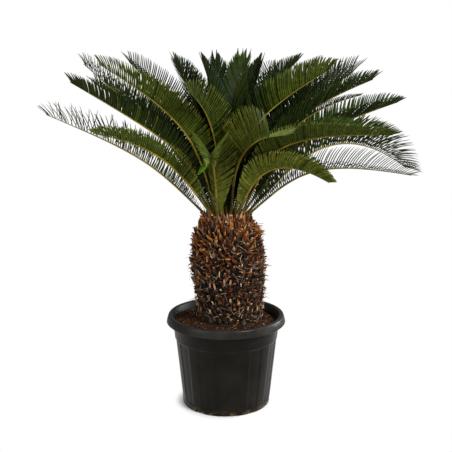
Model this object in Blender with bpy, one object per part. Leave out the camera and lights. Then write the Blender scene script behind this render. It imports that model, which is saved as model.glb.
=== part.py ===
"""A sago palm in a black nursery pot.

Metres, +Z up. The origin is the centre of the pot's underside, and -Y is the palm's front.
The pot holds the soil, the trunk stands on the soil with a slight lean, and the fronds
stand in a close ring on the trunk's flat top, each a rib with a row of leaflets down both sides.
"""

import math
import random
from typing import NamedTuple

import bpy
import numpy as np
from mathutils.bvhtree import BVHTree

# Gap between pieces that touch
SEAT_GAP = 0.0003
SMOOTH_ANGLE = math.radians(35.0)

# Pot
POT_HEIGHT = 0.3875
POT_FOOT_RADIUS = 0.1835
POT_TOP_RADIUS = 0.2235
POT_WALL = 0.0065
POT_FLOOR = 0.006
POT_EDGE = 0.004
LIP_RADIUS = 0.2500
LIP_LOW = 0.3535
RIM_OUTER_RADIUS = 0.2415
RIM_INNER_RADIUS = 0.2250
RIM_SKIN = 0.0035
RIM_GROOVE_TOP = 0.3735
RIM_INSIDE_LOW = 0.360
FLUTE_COUNT = 12
FLUTE_DEPTH = 0.0025
FLUTE_LOW = 0.024
FLUTE_HIGH = 0.280
BAND_LOW = 0.287
FLUTE_EDGES_DEG = (-3.0, -1.0, 12.0, 14.0)
NOTCH_COUNT = 5
NOTCH_FIRST_DEG = 18.0
NOTCH_WIDTH = 0.038
NOTCH_HEIGHT = 0.008
NOTCH_DEPTH = 0.018

# Soil
SOIL_AT_WALL = 0.350
SOIL_AT_TRUNK = 0.3705
SOIL_SEAT_RADIUS = 0.150
SOIL_TILT = 0.010
SOIL_SWELL = 0.002
SOIL_LOW_SIDE_DEG = 35.0

# Trunk
TRUNK_FOOT = SOIL_AT_TRUNK + SEAT_GAP
TRUNK_TOP = 0.800
TRUNK_OUTLINE = (
    (TRUNK_FOOT, 0.138),
    (0.410, 0.134),
    (0.500, 0.138),
    (0.600, 0.147),
    (0.660, 0.142),
    (0.720, 0.130),
    (0.765, 0.108),
    (TRUNK_TOP, 0.098),
)
TRUNK_FOOT_X = 0.020
TRUNK_TOP_X = 0.000
SCALES_AROUND = 22
SCALE_ROWS = 22
SCALE_LENGTHS = (0.008, 0.021)
SCALE_UNEVENNESS = (0.60, 1.15)
SCALE_WANDER = 0.02
TOP_SCALE_SHARE = 0.4
SEED = 7

# Fronds
RIB_WIDTHS = (0.0120, 0.0030)
RIB_DEPTHS = (0.0100, 0.0028)
FOOT_SPREAD = 0.090
FOOT_INNER = 0.012
FOOT_SPACING = 0.0185
FOOT_REACH = 0.080
SPREAD_ROUNDS = 400
BEND_SHARPNESS = 4
LEAFLET_START = 0.10
LEAFLET_END = 0.975
LEAFLETS_PER_SIDE = 24
LEAFLET_LENGTH = 0.142
SHARE_AT_FOOT = 0.22
FULL_FROM = 0.37
FADES_FROM = 0.55
SHARE_AT_TIP = 0.58
LEAFLET_ANGLES_DEG = (78.0, 40.0)
ANGLE_POWER = 3
FADE_POWER = 1.5
TIP_LENGTH = 0.065
TIP_LIFT_DEG = 22.0
LEAFLET_CLEARANCE = 0.0006
LEAFLET_TRIES = (1.0, 0.85, 0.7, 0.5, 0.3)


class Frond(NamedTuple):
    """One frond's shape. Angles are in degrees."""

    facing: float  # from +X towards +Y
    rise: float  # its angle above level at its foot
    tip_rise: float  # and at its tip
    length: float
    bend: float  # the share of its length by which it has made half of its bend
    roll: float  # how far its end is rolled over to its right
    vee: float  # the angle at which its leaflets stand up from it
    turn: float = 0.0  # how far its heading turns to its left by its tip
    spread: float = 1.0  # how widely its leaflets stand from it, against the rest
    size: float = 1.0  # and how long they are
    outer: float = 0.0  # how much further out than the rest its foot stands


FRONDS = {
    "frond_front_centre": Frond(245, 82, -20, 0.46, 0.70, 0, 50, turn=29, size=0.95, outer=0.055),
    "frond_front_hooked": Frond(329, 84, 6, 0.64, 0.45, -38, 44, turn=-60, size=1.1),
    "frond_front_upright": Frond(238, 82, 26, 0.61, 0.84, 0, 66, size=0.85),
    "frond_front_right_low": Frond(321, 63, -31, 0.51, 0.59, 0, 60, turn=40, size=0.65),
    "frond_front_left_low": Frond(231, 47, 14, 0.73, 0.62, 0, 60, turn=-11, size=0.55),
    "frond_front_left_high": Frond(206, 73, 32, 0.82, 0.49, 0, 62, turn=-8, size=0.75),
    "frond_front_right_high": Frond(15, 84, 31, 0.77, 0.46, 0, 66, turn=-16, size=0.95),
    "frond_right_a": Frond(325, 64, 3, 0.86, 0.41, 10, 50, turn=-2, spread=0.85, size=0.75),
    "frond_right_b": Frond(337, 63, 15, 0.75, 0.70, 10, 55, turn=-4, spread=0.8, size=0.3),
    "frond_right_c": Frond(349, 42, -8, 0.73, 0.48, 15, 28, turn=-2, spread=0.95, size=0.95),
    "frond_right_d": Frond(15, 64, 20, 0.84, 0.53, 10, 55, spread=0.8, size=0.8),
    "frond_right_arched": Frond(17, 44, -36, 0.87, 0.64, 10, 58, turn=1, spread=0.85, size=1.3),
    "frond_right_e": Frond(17, 53, 15, 0.88, 0.43, 10, 50, turn=6, spread=0.85, size=0.85),
    "frond_right_f": Frond(27, 61, 27, 0.81, 0.60, 10, 50, spread=0.8, size=1.2),
    "frond_right_g": Frond(40, 64, 30, 0.79, 0.60, 10, 50, spread=0.8),
    "frond_right_h": Frond(33, 62, 27, 0.80, 0.60, 10, 50, spread=0.85, size=1.1),
    "frond_left_a": Frond(176, 44, 22, 0.79, 0.44, -10, 60, turn=-1, size=0.9),
    "frond_left_b": Frond(191, 68, 31, 0.82, 0.34, -10, 55, turn=7, size=0.65),
    "frond_left_c": Frond(177, 72, 40, 0.84, 0.25, -10, 55, turn=-6, size=0.75),
    "frond_left_d": Frond(148, 54, 22, 0.82, 0.60, -10, 50, size=0.8),
    "frond_left_e": Frond(150, 70, 36, 0.77, 0.60, -10, 50, size=0.8),
    "frond_top_a": Frond(137, 76, 52, 0.68, 0.70, 0, 45, spread=0.7, size=0.9),
    "frond_top_b": Frond(127, 87, 60, 0.655, 0.78, 0, 45, turn=4, spread=0.5, size=0.7),
    "frond_top_c": Frond(100, 78, 56, 0.68, 0.70, 0, 40, spread=0.6, size=0.8),
    "frond_top_d": Frond(74, 76, 70, 0.66, 0.70, 0, 35, turn=-1, spread=0.55, size=0.85),
    "frond_top_e": Frond(66, 86, 48, 0.69, 0.70, 0, 40, spread=0.6, size=0.85),
    "frond_top_f": Frond(57, 78, 53, 0.68, 0.70, 0, 40, spread=0.5, size=0.75),
    "frond_top_g": Frond(37, 77, 37, 0.725, 0.71, 0, 45, turn=-4, spread=0.7, size=0.85),
    "frond_back_a": Frond(110, 50, 12, 0.80, 0.60, 0, 45),
    "frond_back_b": Frond(82, 46, 8, 0.80, 0.60, 0, 45),
    "frond_back_c": Frond(50, 50, 10, 0.82, 0.60, 0, 45),
    "frond_back_d": Frond(130, 46, 10, 0.80, 0.60, 0, 45),
    "frond_back_e": Frond(92, 63, 30, 0.80, 0.60, 0, 45, size=0.8),
    "frond_back_f": Frond(116, 66, 34, 0.78, 0.60, 0, 45, size=0.8),
    "frond_back_g": Frond(66, 64, 30, 0.80, 0.60, 0, 45, size=0.8),
}


def clear_scene():
    for obj in list(bpy.data.objects):
        bpy.data.objects.remove(obj)


def make_material(name, colour, roughness):
    material = bpy.data.materials.new(name)
    material.use_nodes = True
    shader = material.node_tree.nodes["Principled BSDF"]
    shader.inputs["Base Color"].default_value = (*colour, 1.0)
    shader.inputs["Roughness"].default_value = roughness
    shader.inputs["Metallic"].default_value = 0.0
    return material


def add_object(name, points, faces, material):
    mesh = bpy.data.meshes.new(name)
    mesh.from_pydata([tuple(p) for p in points], [], faces)
    mesh.shade_smooth()
    mesh.set_sharp_from_angle(angle=SMOOTH_ANGLE)
    mesh.materials.append(material)
    obj = bpy.data.objects.new(name, mesh)
    bpy.context.scene.collection.objects.link(obj)
    return obj


def band_between(lower, upper, count):
    """Faces that join two rings of count points, given by their first indices, facing out."""
    faces = []
    for i in range(count):
        j = (i + 1) % count
        faces.append((lower + i, lower + j, upper + j, upper + i))
    return faces


def polar(radius, angle, height):
    return (radius * math.cos(angle), radius * math.sin(angle), height)


# Pot and soil


def pot_angles():
    """The directions of the pot's corners: the edges of its flutes."""
    pitch = 360.0 / FLUTE_COUNT
    return [
        math.radians(-90.0 + pitch * k + edge)
        for k in range(FLUTE_COUNT)
        for edge in FLUTE_EDGES_DEG
    ]


def pot_radius(height):
    return POT_FOOT_RADIUS + (POT_TOP_RADIUS - POT_FOOT_RADIUS) * height / LIP_LOW


def pot_rings():
    """Radius, height and flute share of each ring, up the outside and down the inside."""
    outside = [
        (POT_FOOT_RADIUS - POT_EDGE, 0.0, 0),
        (pot_radius(POT_EDGE), POT_EDGE, 0),
        (pot_radius(FLUTE_LOW), FLUTE_LOW, 0),
        (pot_radius(FLUTE_LOW + POT_EDGE), FLUTE_LOW + POT_EDGE, 1),
        (pot_radius(FLUTE_HIGH), FLUTE_HIGH, 1),
        (pot_radius(BAND_LOW), BAND_LOW, 0),
        (pot_radius(RIM_GROOVE_TOP), RIM_GROOVE_TOP, 0),
        (RIM_OUTER_RADIUS - RIM_SKIN, RIM_GROOVE_TOP, 0),
        (LIP_RADIUS - RIM_SKIN, LIP_LOW, 0),
        (LIP_RADIUS, LIP_LOW + POT_EDGE / 2, 0),
        (RIM_OUTER_RADIUS + POT_EDGE / 2, POT_HEIGHT - POT_EDGE, 0),
        (RIM_OUTER_RADIUS - POT_EDGE, POT_HEIGHT, 0),
        (RIM_INNER_RADIUS + POT_EDGE, POT_HEIGHT, 0),
        (RIM_INNER_RADIUS, POT_HEIGHT - POT_EDGE, 0),
    ]
    inside = [
        (pot_radius(RIM_INSIDE_LOW) - POT_WALL, RIM_INSIDE_LOW, 0),
        (pot_radius(POT_FLOOR) - POT_WALL, POT_FLOOR, 0),
    ]
    return outside + inside


def make_pot(material):
    angles = pot_angles()
    count = len(angles)
    points = []
    for radius, height, fluted in pot_rings():
        for i, angle in enumerate(angles):
            in_flute = i % len(FLUTE_EDGES_DEG) in (1, 2)
            points.append(polar(radius - FLUTE_DEPTH * fluted * in_flute, angle, height))
    rings = len(points) // count
    faces = []
    for k in range(rings - 1):
        faces += band_between(k * count, (k + 1) * count, count)
    faces.append(tuple(reversed(range(count))))
    faces.append(tuple(range((rings - 1) * count, rings * count)))
    pot = add_object("pot", points, faces, material)
    for k in range(NOTCH_COUNT):
        cut_notch(pot, math.radians(NOTCH_FIRST_DEG + 360.0 * k / NOTCH_COUNT))
    return pot


def cut_notch(pot, angle):
    """A drain notch in the pot's bottom edge, cut from outside and below."""
    inner = POT_FOOT_RADIUS - NOTCH_DEPTH
    outer = POT_FOOT_RADIUS + NOTCH_DEPTH
    half = NOTCH_WIDTH / 2
    points = []
    for height in (-NOTCH_HEIGHT, NOTCH_HEIGHT):
        for along, across in ((inner, -half), (outer, -half), (outer, half), (inner, half)):
            x = along * math.cos(angle) - across * math.sin(angle)
            y = along * math.sin(angle) + across * math.cos(angle)
            points.append((x, y, height))
    faces = [(3, 2, 1, 0), (4, 5, 6, 7)] + band_between(0, 4, 4)
    cutter = add_object("notch_cutter", points, faces, pot.data.materials[0])
    cutter.hide_render = True
    cutter.display_type = "WIRE"
    notch = pot.modifiers.new("notch", "BOOLEAN")
    notch.operation = "DIFFERENCE"
    notch.object = cutter


def soil_height(radius, angle, wall_radius):
    """The soil is level round the trunk and falls to the wall, further on one side."""
    share = (radius - SOIL_SEAT_RADIUS) / (wall_radius - SOIL_SEAT_RADIUS)
    low = SOIL_TILT * math.cos(angle - math.radians(SOIL_LOW_SIDE_DEG))
    return SOIL_AT_TRUNK + share * (SOIL_AT_WALL - low - SOIL_AT_TRUNK)


def make_soil(material):
    angles = pot_angles()
    count = len(angles)
    wall_gap = POT_WALL + SEAT_GAP
    floor = POT_FLOOR + SEAT_GAP
    wall = pot_radius(SOIL_AT_WALL) - wall_gap
    points = [polar(pot_radius(floor) - wall_gap, a, floor) for a in angles]
    for a in angles:
        height = soil_height(wall, a, wall)
        points.append(polar(pot_radius(height) - wall_gap, a, height))
    middle = (wall + SOIL_SEAT_RADIUS) / 2
    points += [polar(middle, a, soil_height(middle, a, wall) + SOIL_SWELL) for a in angles]
    points += [polar(SOIL_SEAT_RADIUS, a, SOIL_AT_TRUNK) for a in angles]
    faces = []
    for k in range(3):
        faces += band_between(k * count, (k + 1) * count, count)
    faces.append(tuple(reversed(range(count))))
    faces.append(tuple(range(3 * count, 4 * count)))
    return add_object("soil", points, faces, material)


# Trunk


def trunk_radius(height):
    heights, radii = zip(*TRUNK_OUTLINE)
    return float(np.interp(height, heights, radii))


def trunk_x(height):
    return float(np.interp(height, (TRUNK_FOOT, TRUNK_TOP), (TRUNK_FOOT_X, TRUNK_TOP_X)))


def trunk_point(radius, angle, height):
    x, y, z = polar(radius, angle, height)
    return (x + trunk_x(height), y, z)


def make_trunk(material):
    """A barrel covered in a lattice of diamonds, each raised to the blunt point of a leaf base."""
    draw = random.Random(SEED)
    half_angle = math.pi / SCALES_AROUND
    row_height = (TRUNK_TOP - TRUNK_FOOT) / SCALE_ROWS
    points = []
    for row in range(SCALE_ROWS + 1):
        height = TRUNK_FOOT + row * row_height
        for i in range(SCALES_AROUND):
            angle = (2 * i + row % 2) * half_angle
            points.append(trunk_point(trunk_radius(height), angle, height))

    def corner(row, i):
        return row * SCALES_AROUND + i % SCALES_AROUND

    faces = [tuple(reversed([corner(0, i) for i in range(SCALES_AROUND)]))]
    faces.append(tuple(corner(SCALE_ROWS, i) for i in range(SCALES_AROUND)))
    for i in range(SCALES_AROUND):
        faces.append((corner(0, i), corner(0, i + 1), corner(1, i)))
        below = corner(SCALE_ROWS - 1, i + SCALE_ROWS % 2)
        faces.append((below, corner(SCALE_ROWS, i + 1), corner(SCALE_ROWS, i)))
    for row in range(1, SCALE_ROWS):
        share = row / SCALE_ROWS
        odd = row % 2
        for i in range(SCALES_AROUND):
            left, right = corner(row, i), corner(row, i + 1)
            below, above = corner(row - 1, i + odd), corner(row + 1, i + odd)
            angle = (2 * i + 1 + odd) * half_angle + draw.uniform(-SCALE_WANDER, SCALE_WANDER)
            length = SCALE_LENGTHS[0] + (SCALE_LENGTHS[1] - SCALE_LENGTHS[0]) * share
            length *= draw.uniform(*SCALE_UNEVENNESS)
            if row == SCALE_ROWS - 1:
                length *= TOP_SCALE_SHARE
            height = TRUNK_FOOT + (row + 0.5 * share) * row_height
            radius = trunk_radius(height) + length
            points.append(trunk_point(radius, angle, height))
            tip = len(points) - 1
            faces += [(left, below, tip), (below, right, tip), (right, above, tip), (above, left, tip)]
    return add_object("trunk", points, faces, material)


# Fronds


def bend_share(along, bend):
    """How much of its bend a frond has made by this share of its length."""
    power = BEND_SHARPNESS
    return along**power * (1 + bend**power) / (along**power + bend**power)


def frond_direction(frond, along):
    bent = bend_share(along, frond.bend)
    tilt = math.radians(frond.rise + (frond.tip_rise - frond.rise) * bent)
    heading = math.radians(frond.facing + frond.turn * along)
    return np.array(
        (math.cos(tilt) * math.cos(heading), math.cos(tilt) * math.sin(heading), math.sin(tilt))
    )


def frond_axes(frond, along):
    """The rib's direction, its right-hand side and its upper side at a share of its length."""
    forward = frond_direction(frond, along)
    level = np.cross(forward, (0.0, 0.0, 1.0))
    level /= np.linalg.norm(level)
    steep = np.cross(level, forward)
    roll = math.radians(frond.roll * along)
    side = math.cos(roll) * level - math.sin(roll) * steep
    return forward, side, np.cross(side, forward)


def frond_feet():
    """Where each frond stands on the trunk's top: steeper ones nearer its middle, none too close."""
    feet = []
    for frond in FRONDS.values():
        radius = FOOT_INNER + FOOT_SPREAD * math.cos(math.radians(frond.rise)) + frond.outer
        angle = math.radians(frond.facing)
        feet.append(np.array((radius * math.cos(angle), radius * math.sin(angle))))
    for _ in range(SPREAD_ROUNDS):
        for i, first in enumerate(feet):
            for second in feet[i + 1 :]:
                apart = second - first
                distance = float(np.linalg.norm(apart))
                if distance < FOOT_SPACING:
                    push = apart / distance * (FOOT_SPACING - distance) / 2
                    first -= push
                    second += push
        for foot in feet:
            reach = float(np.linalg.norm(foot))
            if reach > FOOT_REACH:
                foot *= FOOT_REACH / reach
    height = TRUNK_TOP + SEAT_GAP
    return {
        name: np.array((foot[0] + TRUNK_TOP_X, foot[1], height))
        for name, foot in zip(FRONDS, feet)
    }


def rib_line(frond, foot, steps=96):
    """The shares of the frond's length at which its rib is known, and the points there."""
    shares = np.linspace(0.0, 1.0, steps + 1)
    points = [foot]
    for along in (shares[:-1] + shares[1:]) / 2:
        points.append(points[-1] + frond_direction(frond, along) * frond.length / steps)
    return shares, np.array(points)


def on_line(line, along):
    shares, points = line
    return np.array([np.interp(along, shares, points[:, k]) for k in range(3)])


def leaflet_share(along):
    """A leaflet's length against the longest: short by the foot, longest midway, less at the tip."""
    through = (along - LEAFLET_START) / (1.0 - LEAFLET_START)
    growing = min(1.0, SHARE_AT_FOOT + (1.0 - SHARE_AT_FOOT) * through / FULL_FROM)
    faded = max(0.0, (through - FADES_FROM) / (1.0 - FADES_FROM))
    return growing * (1.0 - (1.0 - SHARE_AT_TIP) * faded**FADE_POWER)


def leaflet_direction(frond, along, side_sign):
    forward, side, upper = frond_axes(frond, along)
    wide, narrow = LEAFLET_ANGLES_DEG
    spread = math.radians(wide + (narrow - wide) * along**ANGLE_POWER) * frond.spread
    vee = math.radians(frond.vee)
    outward = math.cos(vee) * side_sign * side + math.sin(vee) * upper
    return math.cos(spread) * forward + math.sin(spread) * outward


def rib_stations():
    leaflets = np.linspace(LEAFLET_START, LEAFLET_END, LEAFLETS_PER_SIDE + 1)
    return [0.0, LEAFLET_START / 2, *leaflets]


def rib_corners(frond, line, along):
    """The rib's four corners there: right and left above, left and right below."""
    forward, side, upper = frond_axes(frond, along)
    middle = on_line(line, along)
    width = np.interp(along, (0.0, 1.0), RIB_WIDTHS) / 2
    depth = np.interp(along, (0.0, 1.0), RIB_DEPTHS) / 2
    corners = []
    for across, up in ((1, 1), (-1, 1), (-1, -1), (1, -1)):
        point = middle + side * width * across + upper * depth * up
        if along == 0.0:
            point -= forward * depth * up * upper[2] / forward[2]
        corners.append(point)
    return corners


def frond_mesh(frond, line, reach):
    """Points and faces of a frond whose leaflets have these shares of their full length."""
    stations = rib_stations()
    points = [p for along in stations for p in rib_corners(frond, line, along)]
    faces = [(1, 2, 3, 0)]
    for k in range(len(stations) - 1):
        near, far = 4 * k, 4 * (k + 1)
        faces.append((near, far, far + 1, near + 1))
        faces.append((near + 2, far + 2, far + 3, near + 3))
        sides = ((near + 3, far + 3, far, near), (near + 1, far + 1, far + 2, near + 2))
        for column, base in enumerate(sides):
            share = reach[k - 2, column] if k >= 2 else 0.0
            if share:
                along = (stations[k] + stations[k + 1]) / 2
                points.append(leaflet_tip(frond, line, along, 1 - 2 * column, share))
                tip = len(points) - 1
                faces += [(base[e], base[(e + 1) % 4], tip) for e in range(4)]
            else:
                faces.append(base)
    last = 4 * (len(stations) - 1)
    forward, _, upper = frond_axes(frond, 1.0)
    lift = math.radians(TIP_LIFT_DEG)
    end = on_line(line, stations[-1])
    end += (math.cos(lift) * forward + math.sin(lift) * upper) * TIP_LENGTH
    points.append(end)
    tip = len(points) - 1
    faces += [(last + e, tip, last + (e + 1) % 4) for e in range(4)]
    return points, faces


def leaflet_tip(frond, line, along, side_sign, share):
    length = LEAFLET_LENGTH * frond.size * leaflet_share(along) * share
    return on_line(line, along) + leaflet_direction(frond, along, side_sign) * length


def tree_of(points, faces):
    triangles = [(f[0], f[i], f[i + 1]) for f in faces for i in range(1, len(f) - 1)]
    return BVHTree.FromPolygons([tuple(p) for p in points], triangles, all_triangles=True)


def leaflet_shell(frond, line, stations, k, side_sign, share):
    """A slightly swollen copy of one leaflet, which shows what it would touch."""
    along = (stations[k] + stations[k + 1]) / 2
    tip = leaflet_tip(frond, line, along, side_sign, share)
    root = on_line(line, along)
    tip = tip + (tip - root) / np.linalg.norm(tip - root) * LEAFLET_CLEARANCE
    points = []
    for near in (stations[k], stations[k + 1]):
        corners = rib_corners(frond, line, near)
        pair = (corners[3], corners[0]) if side_sign > 0 else (corners[1], corners[2])
        middle = (pair[0] + pair[1]) / 2
        for corner in pair:
            swell = (corner - middle) / np.linalg.norm(corner - middle)
            points.append(corner + swell * LEAFLET_CLEARANCE)
    points.append(tip)
    return tree_of(points, [(0, 2, 4), (2, 3, 4), (3, 1, 4), (1, 0, 4)])


def clear_reach(name, lines, trees):
    """The longest share of each leaflet of a frond that stays clear of all the other fronds."""
    frond, line = FRONDS[name], lines[name]
    stations = rib_stations()
    others = [tree for other, tree in trees.items() if other != name]
    reach = np.zeros((LEAFLETS_PER_SIDE, 2))
    for k in range(2, len(stations) - 1):
        for column, side_sign in enumerate((1, -1)):
            for share in LEAFLET_TRIES:
                shell = leaflet_shell(frond, line, stations, k, side_sign, share)
                if not any(shell.overlap(tree) for tree in others):
                    reach[k - 2, column] = share
                    break
    return reach


def make_fronds(material):
    feet = frond_feet()
    lines = {name: rib_line(frond, feet[name]) for name, frond in FRONDS.items()}
    bare = np.zeros((LEAFLETS_PER_SIDE, 2))
    trees = {name: tree_of(*frond_mesh(FRONDS[name], lines[name], bare)) for name in FRONDS}
    for name in FRONDS:
        reach = clear_reach(name, lines, trees)
        points, faces = frond_mesh(FRONDS[name], lines[name], reach)
        trees[name] = tree_of(points, faces)
        add_object(name, points, faces, material)


def main():
    clear_scene()
    make_pot(make_material("pot_plastic", (0.030, 0.029, 0.028), 0.55))
    make_soil(make_material("soil", (0.095, 0.045, 0.022), 0.95))
    make_trunk(make_material("bark", (0.115, 0.060, 0.032), 0.90))
    make_fronds(make_material("leaf", (0.060, 0.105, 0.028), 0.50))


main()
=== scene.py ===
"""A sago palm in a black nursery pot: its looks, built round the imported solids.

Metres, +Z up. The origin is the centre of the pot's underside, and -Y is the palm's front.
The fronds follow the rule that the solids' fronds follow, with the leaflets of a real frond.
"""

import math
from typing import NamedTuple

import bpy
import numpy as np
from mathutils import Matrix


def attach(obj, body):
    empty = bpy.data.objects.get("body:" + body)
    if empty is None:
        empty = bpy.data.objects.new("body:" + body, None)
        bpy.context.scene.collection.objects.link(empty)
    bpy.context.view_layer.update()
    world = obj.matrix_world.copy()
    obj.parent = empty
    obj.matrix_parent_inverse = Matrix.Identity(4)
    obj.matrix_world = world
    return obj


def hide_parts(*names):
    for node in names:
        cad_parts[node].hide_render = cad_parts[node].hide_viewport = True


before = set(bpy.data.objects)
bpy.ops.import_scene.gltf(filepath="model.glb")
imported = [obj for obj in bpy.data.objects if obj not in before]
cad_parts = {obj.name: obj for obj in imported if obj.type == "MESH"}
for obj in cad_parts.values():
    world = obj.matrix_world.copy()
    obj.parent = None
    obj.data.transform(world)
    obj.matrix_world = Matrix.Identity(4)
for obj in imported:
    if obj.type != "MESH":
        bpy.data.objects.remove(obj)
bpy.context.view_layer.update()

SEED = 11
UP = np.array((0.0, 0.0, 1.0))
GOLDEN_ANGLE = math.radians(137.508)

# Pot, as in the solids
POT_HEIGHT = 0.3875
POT_FOOT_RADIUS = 0.1835
POT_TOP_RADIUS = 0.2235
POT_WALL = 0.0065
POT_FLOOR = 0.006
LIP_RADIUS = 0.2500
LIP_LOW = 0.3535
RIM_OUTER_RADIUS = 0.2415
RIM_INNER_RADIUS = 0.2250
RIM_SKIN = 0.0035
RIM_GROOVE_TOP = 0.3735
RIM_INSIDE_LOW = 0.360
FLUTE_COUNT = 12
FLUTE_FIRST_DEG = -90.0
FLUTE_DEPTH = 0.0025
FLUTE_LOW = 0.024
FLUTE_HIGH = 0.280
FLUTE_FROM_DEG = -2.0
FLUTE_TO_DEG = 13.0
FLUTE_EDGE_DEG = 1.6
BAND_LOW = 0.287
LEDGE = 0.2895
LEDGE_DEPTH = 0.0016
NOTCH_COUNT = 5
NOTCH_FIRST_DEG = 18.0
NOTCH_WIDTH = 0.038
NOTCH_HEIGHT = 0.008
NOTCH_DEPTH = 0.018
NOTCH_CRUMBS = 260
POT_SIDES = 360
POT_WALL_SIDE, POT_RIM, POT_INSIDE = range(3)
DUST = (0.150, 0.090, 0.040, 1.0)
DUST_HEIGHT = 0.026

# Soil, as in the solids
SOIL_AT_WALL = 0.350
SOIL_AT_TRUNK = 0.3705
SOIL_SEAT_RADIUS = 0.150
SOIL_TILT = 0.010
SOIL_SWELL = 0.002
SOIL_LOW_SIDE_DEG = 35.0
SOIL_SIDES = 240
SOIL_OVERLAP = 0.0012
SOIL_SKIRT = 0.03
LUMP_WAVES = 24
SOIL_CHIPS = 3200
CHIP_CORNERS = np.array(
    [(x, y, z) for z in (-1, 1) for x, y in ((-1, -1), (1, -1), (1, 1), (-1, 1))]
)
CHIP_FACES = np.array(
    ((3, 2, 1, 0), (4, 5, 6, 7), (0, 1, 5, 4), (1, 2, 6, 5), (2, 3, 7, 6), (3, 0, 4, 7))
)

# Trunk, as in the solids
TRUNK_FOOT = 0.3708
TRUNK_TOP = 0.800
TRUNK_OUTLINE = (
    (TRUNK_FOOT, 0.138),
    (0.410, 0.134),
    (0.500, 0.138),
    (0.600, 0.147),
    (0.660, 0.142),
    (0.720, 0.130),
    (0.765, 0.108),
    (TRUNK_TOP, 0.098),
)
TRUNK_FOOT_X = 0.020
TRUNK_TOP_X = 0.000
TRUNK_CLOSES = (0.66, 0.79)
CORE_DEPTH = 0.010
CORE_SIDES = 160
LEAF_BASES = 780
SCALES = 1400
TORN_FACES = 70
FIBRES = 260
NECK_SCALES = 330
TUFT_SCALES = 30
DARK, BROWN, GREY, RED, ORANGE, TAN, FIBRE = range(7)

# Fronds, as in the solids
RIB_STEPS = 96
FOOT_SPREAD = 0.090
FOOT_INNER = 0.012
FOOT_SPACING = 0.0185
FOOT_REACH = 0.080
FOOT_HEIGHT = TRUNK_TOP + 0.0003
SPREAD_ROUNDS = 400
BEND_SHARPNESS = 4
LEAFLET_LENGTH = 0.142
LEAFLET_START = 0.10
SHARE_AT_FOOT = 0.22
FULL_FROM = 0.37
FADES_FROM = 0.55
SHARE_AT_TIP = 0.58
LEAFLET_ANGLES_DEG = (78.0, 40.0)

# Ribs: half widths, half depths and ends of tones at shares of a frond's length
RIB_STATIONS = (0.0, 0.03, 0.10, 0.55, 1.0)
RIB_HALF_WIDTHS = (0.0088, 0.0070, 0.0050, 0.0034, 0.0011)
RIB_HALF_DEPTHS = (0.0066, 0.0056, 0.0044, 0.0031, 0.0010)
RIB_TONE_ENDS = (0.035, 0.20, 0.70, 0.90)
RIB_SUNK = 0.016

# Leaflets: tones run from the deepest green, first the upper sides', then the undersides'; partly
# painted light and shade
PAINTED_SHADE_LEAF, DARK_LEAF, MIDDLE_LEAF, PALE_LEAF, BRIGHT_LEAF = range(5)
FIRST_UNDER = 5
FRESH = 10
LIT_FROM = 5  # the first stretch of an underside that is a tone lighter, as painted light on the leaflets' ends
DAYLIGHT_STEP = 0.10  # the share of a frond in which daylight adds a tone
SPINES_START = 0.05
LEAFLET_END = 0.985
LEAFLET_STATIONS = np.array((0.0, 0.07, 0.22, 0.42, 0.62, 0.80, 0.93, 1.0))
LEAFLET_PROFILE = np.array((0.5, 0.9, 1.0, 1.0, 0.93, 0.76, 0.46, 0.05))
LEAFLET_CURVE_DEG = 20.0
LEAFLET_ARCH_DEG = 12.0
LEAFLET_TILT_DEG = 11.0
LEAFLET_FOLD = 0.22  # how far a leaflet's edges and middle stand off its line, in half widths
LEAFLET_SKIN = 0.0001
FULL_WIDTH_LENGTH = 0.05  # shorter leaflets are narrower
SHORTEST_SHARE = 0.1  # shorter rests of leaflets are left out
BUNCH_WAVES = 75.0
RIB_CLEARANCE = 0.005
SWINGS_DEG = (0.0, -9.0, 9.0, -18.0, 18.0, -27.0)
WORTH_A_SWING = 0.1  # the least share of a leaflet that a swing has to save
FRESH_LEAFLETS = 15
FRESH_OFFSET = np.array((-0.004, 0.0, 0.010))
FRESH_FACING_DEG = 205.0
FRESH_ROLL_DEG = 80.0
FRESH_LENGTH = 0.070
FRESH_HALF_WIDTH = 0.0032

# Studio
FLOOR_RADIUS = 1.7
FLOOR_SIDES = 96
# radii over which the floor turns from paper into a glow of painted light
FLOOR_GLOW_FADES = (0.178, 0.225)
BACKDROP_LIGHT = 0.24
CAMERA_PLACE = (0.0, -3.6, 1.52)
CAMERA_DIP_DEG = 11.9
SENSOR_WIDTH = 36.0
FOCAL_LENGTH = SENSOR_WIDTH * 891.0 / 452.0  # 891 pixels of a picture that is 452 wide
LIGHTS = (  # name, place, the height it aims at on the palm's axis, size and power
    ("key", (2.4, -2.6, 3.4), 0.8, 1.6, 190),
    ("fill", (-3.0, -2.4, 2.2), 0.8, 2.4, 70),
    ("top", (0.3, 1.6, 4.2), 0.8, 2.0, 90),
    ("edge", (2.3, 0.9, 1.0), 0.3, 1.2, 60),
)


class Frond(NamedTuple):
    """One frond's shape. Angles are in degrees."""

    facing: float  # from +X towards +Y
    rise: float  # its angle above level at its foot
    tip_rise: float  # and at its tip
    length: float
    bend: float  # the share of its length by which it has made half of its bend
    roll: float  # how far its end is rolled over to its right
    vee: float  # the angle at which its leaflets stand up from it
    turn: float = 0.0  # how far its heading turns to its left by its tip
    spread: float = 1.0  # how widely its leaflets stand from it, against the rest
    size: float = 1.0  # and how long they are
    outer: float = 0.0  # how much further out than the rest its foot stands


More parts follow.
